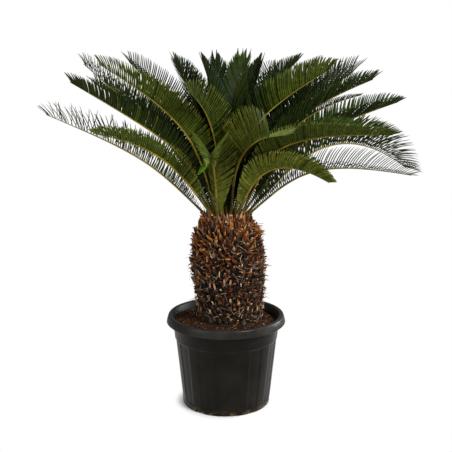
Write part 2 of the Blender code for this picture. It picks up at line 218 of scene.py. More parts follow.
FRONDS = {
    "frond_front_centre": Frond(245, 82, -20, 0.46, 0.70, 0, 50, turn=29, size=0.95, outer=0.055),
    "frond_front_hooked": Frond(329, 84, 6, 0.64, 0.45, -38, 44, turn=-60, size=1.1),
    "frond_front_upright": Frond(238, 82, 26, 0.61, 0.84, 0, 66, size=0.85),
    "frond_front_right_low": Frond(321, 63, -31, 0.51, 0.59, 0, 60, turn=40, size=0.65),
    "frond_front_left_low": Frond(231, 47, 14, 0.73, 0.62, 0, 60, turn=-11, size=0.55),
    "frond_front_left_high": Frond(206, 73, 32, 0.82, 0.49, 0, 62, turn=-8, size=0.75),
    "frond_front_right_high": Frond(15, 84, 31, 0.77, 0.46, 0, 66, turn=-16, size=0.95),
    "frond_right_a": Frond(325, 64, 3, 0.86, 0.41, 10, 50, turn=-2, spread=0.85, size=0.75),
    "frond_right_b": Frond(337, 63, 15, 0.75, 0.70, 10, 55, turn=-4, spread=0.8, size=0.3),
    "frond_right_c": Frond(349, 42, -8, 0.73, 0.48, 15, 28, turn=-2, spread=0.95, size=0.95),
    "frond_right_d": Frond(15, 64, 20, 0.84, 0.53, 10, 55, spread=0.8, size=0.8),
    "frond_right_arched": Frond(17, 44, -36, 0.87, 0.64, 10, 58, turn=1, spread=0.85, size=1.3),
    "frond_right_e": Frond(17, 53, 15, 0.88, 0.43, 10, 50, turn=6, spread=0.85, size=0.85),
    "frond_right_f": Frond(27, 61, 27, 0.81, 0.60, 10, 50, spread=0.8, size=1.2),
    "frond_right_g": Frond(40, 64, 30, 0.79, 0.60, 10, 50, spread=0.8),
    "frond_right_h": Frond(33, 62, 27, 0.80, 0.60, 10, 50, spread=0.85, size=1.1),
    "frond_left_a": Frond(176, 44, 22, 0.79, 0.44, -10, 60, turn=-1, size=0.9),
    "frond_left_b": Frond(191, 68, 31, 0.82, 0.34, -10, 55, turn=7, size=0.65),
    "frond_left_c": Frond(177, 72, 40, 0.84, 0.25, -10, 55, turn=-6, size=0.75),
    "frond_left_d": Frond(148, 54, 22, 0.82, 0.60, -10, 50, size=0.8),
    "frond_left_e": Frond(150, 70, 36, 0.77, 0.60, -10, 50, size=0.8),
    "frond_top_a": Frond(137, 76, 52, 0.68, 0.70, 0, 45, spread=0.7, size=0.9),
    "frond_top_b": Frond(127, 87, 60, 0.655, 0.78, 0, 45, turn=4, spread=0.5, size=0.7),
    "frond_top_c": Frond(100, 78, 56, 0.68, 0.70, 0, 40, spread=0.6, size=0.8),
    "frond_top_d": Frond(74, 76, 70, 0.66, 0.70, 0, 35, turn=-1, spread=0.55, size=0.85),
    "frond_top_e": Frond(66, 86, 48, 0.69, 0.70, 0, 40, spread=0.6, size=0.85),
    "frond_top_f": Frond(57, 78, 53, 0.68, 0.70, 0, 40, spread=0.5, size=0.75),
    "frond_top_g": Frond(37, 77, 37, 0.725, 0.71, 0, 45, turn=-4, spread=0.7, size=0.85),
    "frond_back_a": Frond(110, 50, 12, 0.80, 0.60, 0, 45),
    "frond_back_b": Frond(82, 46, 8, 0.80, 0.60, 0, 45),
    "frond_back_c": Frond(50, 50, 10, 0.82, 0.60, 0, 45),
    "frond_back_d": Frond(130, 46, 10, 0.80, 0.60, 0, 45),
    "frond_back_e": Frond(92, 63, 30, 0.80, 0.60, 0, 45, size=0.8),
    "frond_back_f": Frond(116, 66, 34, 0.78, 0.60, 0, 45, size=0.8),
    "frond_back_g": Frond(66, 64, 30, 0.80, 0.60, 0, 45, size=0.8),
}


class Look(NamedTuple):
    """How one frond's leaflets look. Shares are of the frond's length."""

    over: int = DARK_LEAF  # the tone of their upper sides
    under: int = DARK_LEAF  # and of their undersides
    pitch: float = 0.0088
    width: float = 0.0092
    thins: float = 0.40  # how much narrower they are by the tip
    unevenness: float = 1.0
    deep_to: float = -0.5  # up to which share they get painted shade, darkest deep in the crown
    closes_from: float = 0.90  # from which share on they close up towards the tip
    tip_spread: float = 0.45  # the share of their spread that is left at the tip
    tip_length: float = 0.80  # and of their length
    bunching: float = 0.0  # how far they lean together in bunches, in degrees
    lost: float = 0.0  # the share of them that is missing towards the tip


# The tones dealt to each frond are partly painted light and shade: the front fronds take the pale
# and bright tones, and the fronds deep in the crown take the darker ones.
OUTER_LOOK = Look(pitch=0.0092, width=0.0054, unevenness=1.6, closes_from=0.94, tip_spread=0.7)
TOP_LOOK = Look(width=0.0125, closes_from=0.84, tip_spread=0.55, deep_to=0.40)
BACK_LOOK = Look(pitch=0.0092, width=0.0098, deep_to=0.50)
MIDDLE_LOOK = Look(over=MIDDLE_LEAF, under=MIDDLE_LEAF)
INNER_LOOK = Look(width=0.0080, deep_to=0.40, tip_spread=0.9, tip_length=1.0)
FRONT_LOOK = Look(over=BRIGHT_LEAF, under=PALE_LEAF, pitch=0.0064)
LOOKS = {
    "frond_front_centre": FRONT_LOOK._replace(
        pitch=0.0068, width=0.0088, thins=0.1, closes_from=0.80, tip_spread=0.42, tip_length=1.1
    ),
    "frond_front_hooked": FRONT_LOOK._replace(width=0.0104, deep_to=0.22),
    "frond_front_upright": MIDDLE_LOOK._replace(deep_to=0.28),
    "frond_front_right_low": FRONT_LOOK._replace(
        over=PALE_LEAF, width=0.0090, thins=0.0, closes_from=0.80, tip_spread=0.9, tip_length=0.75
    ),
    "frond_front_left_low": Look(over=PALE_LEAF, under=MIDDLE_LEAF),
    "frond_front_left_high": MIDDLE_LOOK._replace(
        width=0.0098, thins=0.65, deep_to=0.22, tip_spread=0.7
    ),
    "frond_front_right_high": MIDDLE_LOOK._replace(width=0.0098, deep_to=0.56),
    "frond_right_a": MIDDLE_LOOK._replace(deep_to=0.22),
    "frond_right_b": Look(width=0.0080, deep_to=0.22),
    "frond_right_c": OUTER_LOOK._replace(width=0.0044, unevenness=0.8, tip_length=0.5),
    "frond_right_d": INNER_LOOK._replace(width=0.0096, deep_to=0.30, tip_spread=0.8),
    "frond_right_arched": OUTER_LOOK._replace(
        pitch=0.0095, width=0.0076, thins=0.6, closes_from=0.80, tip_spread=0.6
    ),
    "frond_right_e": Look(over=MIDDLE_LEAF, width=0.0096, deep_to=0.25),
    "frond_right_f": INNER_LOOK,
    "frond_right_g": INNER_LOOK,
    "frond_right_h": OUTER_LOOK._replace(width=0.0066, deep_to=0.40),
    "frond_left_a": OUTER_LOOK._replace(
        over=MIDDLE_LEAF, under=MIDDLE_LEAF, width=0.0044, unevenness=3.0, bunching=17.0, lost=0.25
    ),
    "frond_left_b": OUTER_LOOK._replace(
        over=MIDDLE_LEAF, pitch=0.0088, width=0.0086, deep_to=0.30, tip_length=1.0
    ),
    "frond_left_c": OUTER_LOOK._replace(
        over=MIDDLE_LEAF, unevenness=2.5, deep_to=0.35, tip_length=1.0
    ),
    "frond_left_d": INNER_LOOK._replace(width=0.0090, deep_to=0.45, tip_spread=0.8),
    "frond_left_e": INNER_LOOK._replace(deep_to=0.45, tip_spread=0.8),
    "frond_top_a": TOP_LOOK._replace(width=0.0105),
    "frond_top_b": TOP_LOOK,
    "frond_top_c": TOP_LOOK,
    "frond_top_d": TOP_LOOK._replace(over=PALE_LEAF, under=PALE_LEAF, deep_to=0.3),
    "frond_top_e": TOP_LOOK._replace(over=MIDDLE_LEAF, under=MIDDLE_LEAF, deep_to=0.3),
    "frond_top_f": TOP_LOOK,
    "frond_top_g": TOP_LOOK._replace(width=0.0105),
    **{name: BACK_LOOK for name in FRONDS if name.startswith("frond_back_")},
}


# Small tools


def unit(vectors):
    return vectors / np.linalg.norm(vectors, axis=-1, keepdims=True)


def smooth_step(values, low, high):
    share = np.clip((values - low) / (high - low), 0.0, 1.0)
    return share * share * (3.0 - 2.0 * share)


def polar(radius, angle, height):
    return np.stack(
        np.broadcast_arrays(radius * np.cos(angle), radius * np.sin(angle), height), axis=-1
    )


def round_angles(count):
    """Angles of points set evenly round a circle."""
    return np.arange(count) * 2 * math.pi / count


class Shape:
    """The points and faces of one piece. Each face keeps the number of its material."""

    def __init__(self):
        self.points = []
        self.corners = []
        self.sizes = []
        self.finishes = []
        self.count = 0

    def add_points(self, points):
        """Adds points and returns the number of the first one."""
        points = np.asarray(points, float).reshape(-1, 3)
        first = self.count
        self.points.append(points)
        self.count += len(points)
        return first

    def add_faces(self, faces, finish):
        """Adds faces, whose corners are on the last axis. finish is one number, or one a face."""
        size = faces.shape[-1]
        chosen = np.broadcast_to(finish, faces.shape[:-1]).reshape(-1)
        self.corners.append(faces.reshape(-1))
        self.sizes.append(np.full(len(chosen), size))
        self.finishes.append(chosen)

    def make(self, name, materials, sharp_deg=40.0):
        points = np.concatenate(self.points)
        corners = np.concatenate(self.corners)
        sizes = np.concatenate(self.sizes)
        mesh = bpy.data.meshes.new(name)
        mesh.vertices.add(len(points))
        mesh.vertices.foreach_set("co", points.astype(np.float32).ravel())
        mesh.loops.add(len(corners))
        mesh.loops.foreach_set("vertex_index", corners.astype(np.int32))
        mesh.polygons.add(len(sizes))
        starts = np.concatenate(((0,), np.cumsum(sizes)[:-1]))
        mesh.polygons.foreach_set("loop_start", starts.astype(np.int32))
        mesh.polygons.foreach_set("material_index", np.concatenate(self.finishes).astype(np.int32))
        mesh.update(calc_edges=True)
        mesh.validate()
        mesh.shade_smooth()
        mesh.set_sharp_from_angle(angle=math.radians(sharp_deg))
        for material in materials:
            mesh.materials.append(material)
        piece = bpy.data.objects.new(name, mesh)
        bpy.context.scene.collection.objects.link(piece)
        return piece


def some_angles(rng, middle_deg, spread_deg, count):
    """Random angles in radians."""
    return np.radians(rng.normal(middle_deg, spread_deg, count))


def ring_points(centres, sides, ups, section):
    """The corners of cross-sections: section holds each corner's offset to the side and up.

    centres, sides and ups are (strips, stations, 3); section is (strips, stations, corners, 2).
    """
    across = section[..., :1] * sides[:, :, None]
    above = section[..., 1:] * ups[:, :, None]
    return centres[:, :, None] + across + above


def add_tubes(shape, rings, finish, end_finish=None):
    """Closed tubes through rings of points, (strips, stations, corners, 3).

    Corners run anticlockwise when forward points at the eye with the side to its left.
    """
    strips, stations, corners, _ = rings.shape
    index = shape.add_points(rings) + np.arange(strips * stations * corners)
    index = index.reshape(strips, stations, corners)
    after = np.roll(index, -1, axis=2)
    walls = np.stack((index[:, :-1], index[:, 1:], after[:, 1:], after[:, :-1]), axis=-1)
    shape.add_faces(walls, finish)
    if end_finish is None:
        end_finish = finish if np.isscalar(finish) else np.asarray(finish)[..., -1, 0]
    shape.add_faces(index[:, 0], end_finish)
    shape.add_faces(index[:, -1, ::-1], end_finish)


def lens_section(half_widths, half_depths, corners):
    """Flattened round cross-sections. Half widths and depths are arrays or numbers."""
    angle = round_angles(corners)
    across = np.asarray(half_widths)[..., None] * np.cos(angle)
    above = np.asarray(half_depths)[..., None] * np.sin(angle)
    return np.stack(np.broadcast_arrays(across, above), axis=-1)


def walk(roots, forward, lengths, stations):
    """Points at stations along lines that leave their roots and go forward."""
    steps = (forward[:, :-1] + forward[:, 1:]) / 2 * np.diff(stations)[:, None]
    steps = steps * lengths[:, None, None]
    start = np.zeros_like(roots)[:, None]
    return roots[:, None] + np.concatenate((start, np.cumsum(steps, axis=1)), axis=1)


def curved_paths(roots, headings, rises, turns, curls, lengths, stations):
    """Lines that leave their roots at a heading and a rise, which turn and curl along them."""
    heading = headings[:, None] + turns[:, None] * stations
    rise = rises[:, None] + curls[:, None] * stations
    forward = polar(np.cos(rise), heading, np.sin(rise))
    sides = np.stack((np.sin(heading), -np.cos(heading), np.zeros_like(heading)), axis=-1)
    return walk(roots, forward, lengths, stations), sides, np.cross(sides, forward)


def rolled(sides, ups, rolls):
    """Turns sides and ups about their strips' own lines."""
    cos, sin = np.cos(rolls)[:, None, None], np.sin(rolls)[:, None, None]
    return cos * sides + sin * ups, cos * ups - sin * sides


def dress(piece, slot, *nodes):
    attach(piece, "root")
    if nodes:
        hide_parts(*nodes)


def make_tubes(name, slot, nodes, materials, rings, finish, end_finish=None):
    """A piece of closed tubes through rings, which replaces the nodes of the solids."""
    shape = Shape()
    add_tubes(shape, rings, finish, end_finish)
    dress(shape.make(name, materials), slot, *nodes)


# Materials


def feed(tree, socket, value):
    """Sets an input to a value, or links it to another node's output."""
    if isinstance(value, bpy.types.NodeSocket):
        tree.links.new(value, socket)
    else:
        socket.default_value = value


def add_node(tree, kind, **inputs):
    """A new shader node. An underscore stands for a space in an input's name."""
    node = tree.nodes.new(f"ShaderNode{kind}")
    for name, value in inputs.items():
        feed(tree, node.inputs[name.replace("_", " ")], value)
    return node


def add_range(tree, value, ends, results=(0.0, 1.0), kind="LINEAR"):
    """Turns a value between ends into one between results, and returns the output."""
    low, high = ends
    first, last = results
    node = add_node(
        tree, "MapRange", Value=value, From_Min=low, From_Max=high, To_Min=first, To_Max=last
    )
    node.interpolation_type = kind
    return node.outputs["Result"]


def find_output(tree, kind, name):
    return next(node for node in tree.nodes if node.type == kind).outputs[name]


def make_material(name, tones, roughness, grain, relief, gloss):
    """A surface whose colour wanders between tones, with uneven roughness and a fine relief.

    tones are linear colours, roughness its lowest and highest, grain the pattern's size in
    patches a metre, and relief the height of the bumps in metres.
    """
    material = bpy.data.materials.new(name)
    material.use_nodes = True
    tree = material.node_tree
    place = add_node(tree, "TexCoord").outputs["Object"]
    pattern = add_node(tree, "TexNoise", Vector=place, Scale=grain, Detail=5.0, Roughness=0.6)
    ramp = add_node(tree, "ValToRGB", Fac=pattern.outputs["Fac"])
    elements = ramp.color_ramp.elements
    while len(elements) < len(tones):
        elements.new(0.5)
    for element, position, tone in zip(elements, np.linspace(0.36, 0.64, len(tones)), tones):
        element.position = position
        element.color = (*tone, 1.0)
    fine = add_node(tree, "TexNoise", Vector=place, Scale=grain * 4, Detail=3.0)
    bump = add_node(tree, "Bump", Strength=0.8, Distance=relief, Height=fine.outputs["Fac"])
    inputs = tree.nodes["Principled BSDF"].inputs
    feed(tree, inputs["Base Color"], ramp.outputs["Color"])
    uneven = add_range(tree, pattern.outputs["Fac"], (0.3, 0.7), roughness)
    feed(tree, inputs["Roughness"], uneven)
    feed(tree, inputs["Normal"], bump.outputs["Normal"])
    feed(tree, inputs["Specular IOR Level"], gloss)
    return material


def plain_materials(colours, factor, *surface):
    """A material for each named colour, which wanders to a darker and a lighter one.

    surface holds the rest of what make_material takes.
    """
    made = []
    for name, colour in colours.items():
        darker = tuple(c * factor for c in colour)
        lighter = tuple(c / factor**0.5 for c in colour)
        made.append(make_material(name, (darker, colour, lighter), *surface))
    return made


def leaf_materials():
    """Five tones of leaflets' upper sides, five of their undersides and a fresh green. The five are
    lit and shaded copies of one green, painted light and shade, and the darkest are painted shade.
    """
    uppers = {
        "leaf_upper_painted_shade": (0.004, 0.008, 0.002),
        "leaf_upper_dark": (0.013, 0.026, 0.004),
        "leaf_upper_middle": (0.030, 0.052, 0.007),
        "leaf_upper_pale": (0.060, 0.084, 0.012),
        "leaf_upper_bright": (0.125, 0.155, 0.028),
    }
    unders = {
        "leaf_under_painted_shade": (0.007, 0.012, 0.002),
        "leaf_under_dark": (0.028, 0.043, 0.005),
        "leaf_under_middle": (0.074, 0.090, 0.009),
        "leaf_under_pale": (0.140, 0.154, 0.020),
        "leaf_under_bright": (0.200, 0.210, 0.036),
        "leaf_fresh": (0.075, 0.165, 0.007),
    }
    return [
        *plain_materials(uppers, 0.6, (0.38, 0.55), 60, 0.0002, 0.08),
        *plain_materials(unders, 0.6, (0.5, 0.7), 60, 0.0002, 0.05),
    ]


def rib_materials():
    """The rib's tones from its foot to its tip."""
    colours = {
        "rib_foot": (0.180, 0.080, 0.022),
        "rib_low": (0.110, 0.088, 0.014),
        "rib_middle": (0.250, 0.180, 0.016),
        "rib_high": (0.200, 0.150, 0.014),
        "rib_tip": (0.080, 0.084, 0.012),
    }
    return plain_materials(colours, 0.7, (0.5, 0.7), 40, 0.0003, 0.12)


def bark_materials():
    colours = {
        "bark_dark": (0.016, 0.009, 0.005),
        "bark_brown": (0.066, 0.032, 0.015),
        "bark_grey": (0.090, 0.062, 0.044),
        "bark_red": (0.165, 0.045, 0.013),
        "bark_orange": (0.430, 0.170, 0.040),
        "bark_tan": (0.500, 0.310, 0.165),
        "bark_fibre": (0.420, 0.320, 0.230),
    }
    return plain_materials(colours, 0.55, (0.7, 0.95), 90, 0.0012, 0.2)


def soil_materials():
    colours = {
        "soil_brown": (0.045, 0.018, 0.008),
        "soil_dark": (0.014, 0.008, 0.005),
        "soil_red": (0.100, 0.038, 0.014),
        "soil_pale": (0.230, 0.130, 0.066),
    }
    return plain_materials(colours, 0.6, (0.8, 1.0), 120, 0.0015, 0.15)


def pot_materials():
    """Black plastic for the wall, the same greyer with wear inside it, and on the rim greyer partly
    with wear and partly as painted light.
    """
    wall = ((0.0044, 0.0032, 0.0016), (0.0066, 0.0050, 0.0028), (0.0105, 0.0086, 0.0058))
    # the rim's lighter tones: partly wear and dust, partly painted light
    rim = ((0.0140, 0.0124, 0.0100), (0.0185, 0.0165, 0.0138), (0.026, 0.0235, 0.0200))
    inside = ((0.016, 0.0170, 0.0165), (0.028, 0.029, 0.028), (0.040, 0.040, 0.038))
    plastic = make_material("pot_plastic", wall, (0.26, 0.44), 9, 0.0004, 0.10)
    add_dust(plastic)
    return [
        plastic,
        make_material("pot_rim", rim, (0.30, 0.50), 12, 0.0004, 0.15),
        make_material("pot_inside", inside, (0.40, 0.60), 14, 0.0004, 0.15),
    ]


def add_dust(material):
    """Brown dust in patches that thicken towards the foot."""
    tree = material.node_tree
    place = find_output(tree, "TEX_COORD", "Object")
    split = add_node(tree, "SeparateXYZ", Vector=place)
    specks = add_node(tree, "TexNoise", Vector=place, Scale=40.0, Detail=6.0)
    cover = add_node(tree, "Math")
    cover.operation = "MULTIPLY"
    feed(tree, cover.inputs[0], add_range(tree, split.outputs["Z"], (DUST_HEIGHT, 0.0)))
    feed(tree, cover.inputs[1], add_range(tree, specks.outputs["Fac"], (0.46, 0.66)))
    mix = add_node(tree, "Mix", Factor=cover.outputs["Value"])
    mix.data_type = "RGBA"
    feed(tree, mix.inputs["A"], find_output(tree, "VALTORGB", "Color"))
    feed(tree, mix.inputs["B"], DUST)
    feed(tree, tree.nodes["Principled BSDF"].inputs["Base Color"], mix.outputs["Result"])


# Pot


def pot_radius(height):
    return POT_FOOT_RADIUS + (POT_TOP_RADIUS - POT_FOOT_RADIUS) * height / LIP_LOW


def rounded(corners, steps=5):
    """A profile of (radius, height, rounding) corners, with each corner turned into a curve."""
    made = []
    shares = np.linspace(0.0, 1.0, steps)[:, None]
    for k, (*corner, rounding) in enumerate(corners):
        corner = np.array(corner)
        if not rounding:
            made.append(corner[None])
            continue
        before = np.array(corners[k - 1][:2]) - corner
        after = np.array(corners[k + 1][:2]) - corner
        start = corner + unit(before) * rounding
        end = corner + unit(after) * rounding
        made.append(
            (1 - shares) ** 2 * start + 2 * shares * (1 - shares) * corner + shares**2 * end
        )
    return np.concatenate(made)


def pot_profile():
    """The pot's section: the underside, the outer wall, the rim and down the inner wall."""
    foot = [
        (POT_FOOT_RADIUS - NOTCH_DEPTH - 0.004, 0.0, 0),
        (POT_FOOT_RADIUS - NOTCH_DEPTH, 0.0, 0),
        (POT_FOOT_RADIUS - NOTCH_DEPTH + 0.001, 0.0, 0),
        (pot_radius(0.0), 0.0, 0.004),
    ]
    flute_heights = np.concatenate(
        (np.linspace(0.020, 0.032, 5), np.linspace(0.06, 0.25, 8), np.linspace(0.272, 0.292, 9))
    )
    wall = [(pot_radius(height), height, 0) for height in flute_heights]
    rim = [
        (pot_radius(RIM_GROOVE_TOP), RIM_GROOVE_TOP, 0.002),
        (RIM_OUTER_RADIUS - RIM_SKIN, RIM_GROOVE_TOP, 0.002),
        (LIP_RADIUS - RIM_SKIN, LIP_LOW, 0.0012),
        (LIP_RADIUS, LIP_LOW + 0.0015, 0.0018),
        (RIM_OUTER_RADIUS + 0.0035, POT_HEIGHT - 0.012, 0.006),
        (RIM_OUTER_RADIUS - 0.001, POT_HEIGHT, 0.006),
        (RIM_INNER_RADIUS, POT_HEIGHT, 0.005),
    ]
    inside = [
        (pot_radius(RIM_INSIDE_LOW) - POT_WALL, RIM_INSIDE_LOW, 0.003),
        (pot_radius(POT_FLOOR) - POT_WALL, POT_FLOOR, 0),
    ]
    return rounded(foot + wall + rim + inside)


def from_nearest(angle, count, first_deg):
    """How many degrees each angle is past the nearest of count evenly spaced places."""
    pitch = 360.0 / count
    return (np.degrees(angle) - first_deg + pitch / 2) % pitch - pitch / 2


def flute_share(angle):
    """How deep in a flute each angle is, from 0 between flutes to 1."""
    within = from_nearest(angle, FLUTE_COUNT, FLUTE_FIRST_DEG)
    before = within < FLUTE_FROM_DEG - FLUTE_EDGE_DEG
    within = within + before * 360.0 / FLUTE_COUNT
    entering = smooth_step(within, FLUTE_FROM_DEG - FLUTE_EDGE_DEG, FLUTE_FROM_DEG + FLUTE_EDGE_DEG)
    leaving = smooth_step(within, FLUTE_TO_DEG - FLUTE_EDGE_DEG, FLUTE_TO_DEG + FLUTE_EDGE_DEG)
    return entering - leaving


def notch_share(angle):
    """How far each angle is into a drain notch, from 0 between notches to 1."""
    half_width = math.degrees(NOTCH_WIDTH / 2 / POT_FOOT_RADIUS)
    off_middle = np.abs(from_nearest(angle, NOTCH_COUNT, NOTCH_FIRST_DEG))
    return 1 - smooth_step(off_middle, half_width - 1.2, half_width + 0.8)


def make_pot():
    profile = pot_profile()
    radius, height = profile[:, :1], profile[:, 1:]
    angle = -round_angles(POT_SIDES)
    widest = np.argmax(profile[:, 0])
    outer = np.arange(len(profile))[:, None] < widest
    rising = smooth_step(height, FLUTE_LOW, FLUTE_LOW + 0.006)
    fluted = rising * (1 - smooth_step(height, FLUTE_HIGH, BAND_LOW)) * outer
    below = (1 - smooth_step(height, LEDGE - 0.002, LEDGE)) * smooth_step(height, 0.0, LEDGE)
    relief = FLUTE_DEPTH * fluted * flute_share(angle) + LEDGE_DEPTH * below
    wobble = 0.0005 * np.sin(3 * angle + 1.0) + 0.0003 * np.sin(7 * angle + 2.0 + 12 * height)
    made_radius = radius - relief * outer + wobble * outer
    outside_foot = (radius > POT_FOOT_RADIUS - NOTCH_DEPTH + 0.0005) & outer
    notched = np.maximum(height, NOTCH_HEIGHT * notch_share(angle))
    made_height = np.where(outside_foot, notched, height)
    number = np.arange(len(profile) - 1)
    middle_radius, middle_height = ((profile[:-1] + profile[1:]) / 2).T
    over_lip = (middle_height > LIP_LOW + 0.001) & (number >= widest - 3)
    inside = (middle_radius < RIM_INNER_RADIUS - 0.001) & (number > widest)
    finish = np.where(inside, POT_INSIDE, np.where(over_lip, POT_RIM, POT_WALL_SIDE))
    shape = Shape()
    add_tubes(shape, polar(made_radius, angle, made_height)[None], finish[None, :, None])
    dress(shape.make("pot_shell", pot_materials(), sharp_deg=50), "pot", "pot")


# Soil


def soil_height(radius, angle, wall_radius):
    """The soil is level round the trunk and falls to the wall, further on one side."""
    share = (radius - SOIL_SEAT_RADIUS) / (wall_radius - SOIL_SEAT_RADIUS)
    low = SOIL_TILT * np.cos(angle - math.radians(SOIL_LOW_SIDE_DEG))
    swell = SOIL_SWELL * np.clip(1 - np.abs(2 * share - 1), 0.0, 1.0)
    falling = SOIL_AT_TRUNK + np.clip(share, 0.0, 1.0) * (SOIL_AT_WALL - low - SOIL_AT_TRUNK)
    return falling + swell


def lumps(rng, x, y, waves, height):
    """A sum of random waves over the ground: (shortest, longest) wavelengths in metres."""
    total = np.zeros(np.broadcast(x, y).shape)
    for _ in range(LUMP_WAVES):
        length = rng.uniform(*waves)
        heading = rng.uniform(0, 2 * math.pi)
        shift = rng.uniform(0, 2 * math.pi)
        along = x * math.cos(heading) + y * math.sin(heading)
        total = total + np.sin(along * 2 * math.pi / length + shift)
    return total * height / math.sqrt(LUMP_WAVES)


def add_chips(shape, rng, centres, sizes, finish):
    """Small jagged blocks, each turned its own way."""
    count = len(centres)
    points = CHIP_CORNERS * sizes[:, None] * rng.uniform(0.55, 1.1, (count, 8, 1))
    w, x, y, z = unit(rng.normal(size=(count, 4))).T
    matrix = np.array(
        (
            (1 - 2 * (y * y + z * z), 2 * (x * y - w * z), 2 * (x * z + w * y)),
            (2 * (x * y + w * z), 1 - 2 * (x * x + z * z), 2 * (y * z - w * x)),
            (2 * (x * z - w * y), 2 * (y * z + w * x), 1 - 2 * (x * x + y * y)),
        )
    )
    points = np.einsum("ijn,nkj->nki", matrix, points) + centres[:, None]
    index = shape.add_points(points) + 8 * np.arange(count)[:, None, None] + CHIP_FACES
    shape.add_faces(index, finish[:, None])


def add_notch_crumbs(shape, rng):
    """Crumbs of soil that have washed out into the pot's drain notches."""
    number = rng.integers(0, NOTCH_COUNT, NOTCH_CRUMBS)
    notch = np.radians(NOTCH_FIRST_DEG + 360.0 / NOTCH_COUNT * number)
    half_width = NOTCH_WIDTH / 2 / POT_FOOT_RADIUS
    angle = notch + half_width * rng.uniform(-0.9, 0.9, NOTCH_CRUMBS)
    radius = POT_FOOT_RADIUS - rng.uniform(0.001, NOTCH_DEPTH, NOTCH_CRUMBS)
    sizes = rng.uniform(0.0010, 0.0026, (NOTCH_CRUMBS, 3))
    finish = rng.choice((0, 1, 3), NOTCH_CRUMBS, p=(0.45, 0.35, 0.20))
    height = rng.uniform(0.0045, 0.0060, NOTCH_CRUMBS)
    add_chips(shape, rng, polar(radius, angle, height), sizes, finish)


def make_soil():
    rng = np.random.default_rng(SEED + 1)
    wall = pot_radius(SOIL_AT_WALL) - POT_WALL + SOIL_OVERLAP
    angle = -round_angles(SOIL_SIDES)
    radius = np.append(wall, np.linspace(wall, 0.10, 40))[:, None]
    x, y = radius * np.cos(angle), radius * np.sin(angle)
    height = soil_height(radius, angle, wall)
    height = height + lumps(rng, x, y, (0.02, 0.07), 0.0016)
    height = height + lumps(rng, x, y, (0.006, 0.018), 0.0012)
    height[0] -= SOIL_SKIRT
    shape = Shape()
    add_tubes(shape, np.stack((x, y, height), axis=-1)[None], 0)
    far = np.sqrt(rng.uniform(0.125**2, (wall - 0.004) ** 2, SOIL_CHIPS))
    round_to = rng.uniform(0, 2 * math.pi, SOIL_CHIPS)
    sizes = rng.uniform(0.0013, 0.0036, (SOIL_CHIPS, 3)) * rng.uniform(0.6, 1.5, (SOIL_CHIPS, 1))
    lie = soil_height(far, round_to, wall) + rng.uniform(-0.0005, 0.003, SOIL_CHIPS)
    finish = rng.choice((0, 1, 2, 3), SOIL_CHIPS, p=(0.40, 0.36, 0.18, 0.06))
    add_chips(shape, rng, polar(far, round_to, lie), sizes, finish)
    add_notch_crumbs(shape, rng)
    dress(shape.make("soil_surface", soil_materials()), "soil", "soil")


# Trunk


def trunk_radius(height):
    heights, radii = zip(*TRUNK_OUTLINE)
    return np.interp(height, heights, radii)


def trunk_x(height):
    return np.interp(height, (TRUNK_FOOT, TRUNK_TOP), (TRUNK_FOOT_X, TRUNK_TOP_X))


def on_trunk(angle, height, depth):
    """Points under the trunk's skin by a depth."""
    points = polar(trunk_radius(height) - depth, angle, height)
    points[..., 0] += trunk_x(height)
    return points


def make_core(materials):
    """The dark trunk that shows between the leaf bases."""
    rng = np.random.default_rng(SEED + 2)
    height = np.append(np.linspace(TRUNK_FOOT - 0.006, TRUNK_TOP, 90), TRUNK_TOP + 0.004)[:, None]
    angle = -round_angles(CORE_SIDES)
    depth = CORE_DEPTH + lumps(rng, angle * 0.14, height, (0.012, 0.03), 0.0026)
    depth[-1] += 0.03
    rings = on_trunk(angle, height, depth)[None]
    make_tubes("trunk_core", "bark", ("trunk",), materials, rings, DARK)


def spiral(count, low, high):
    """Heights and angles of points set evenly over the trunk in a spiral."""
    number = np.arange(count)
    return low + (high - low) * (number + 0.5) / count, number * GOLDEN_ANGLE


def grown_rings(rng, paths, rolls, half_widths, half_depths, corners, amount):
    """Rings round rolled paths, each corner a little off, so that nothing looks moulded."""
    centres, sides, ups = paths
    sides, ups = rolled(sides, ups, rolls)
    rings = ring_points(centres, sides, ups, lens_section(half_widths, half_depths, corners))
    return rings + rng.normal(scale=amount, size=rings.shape)


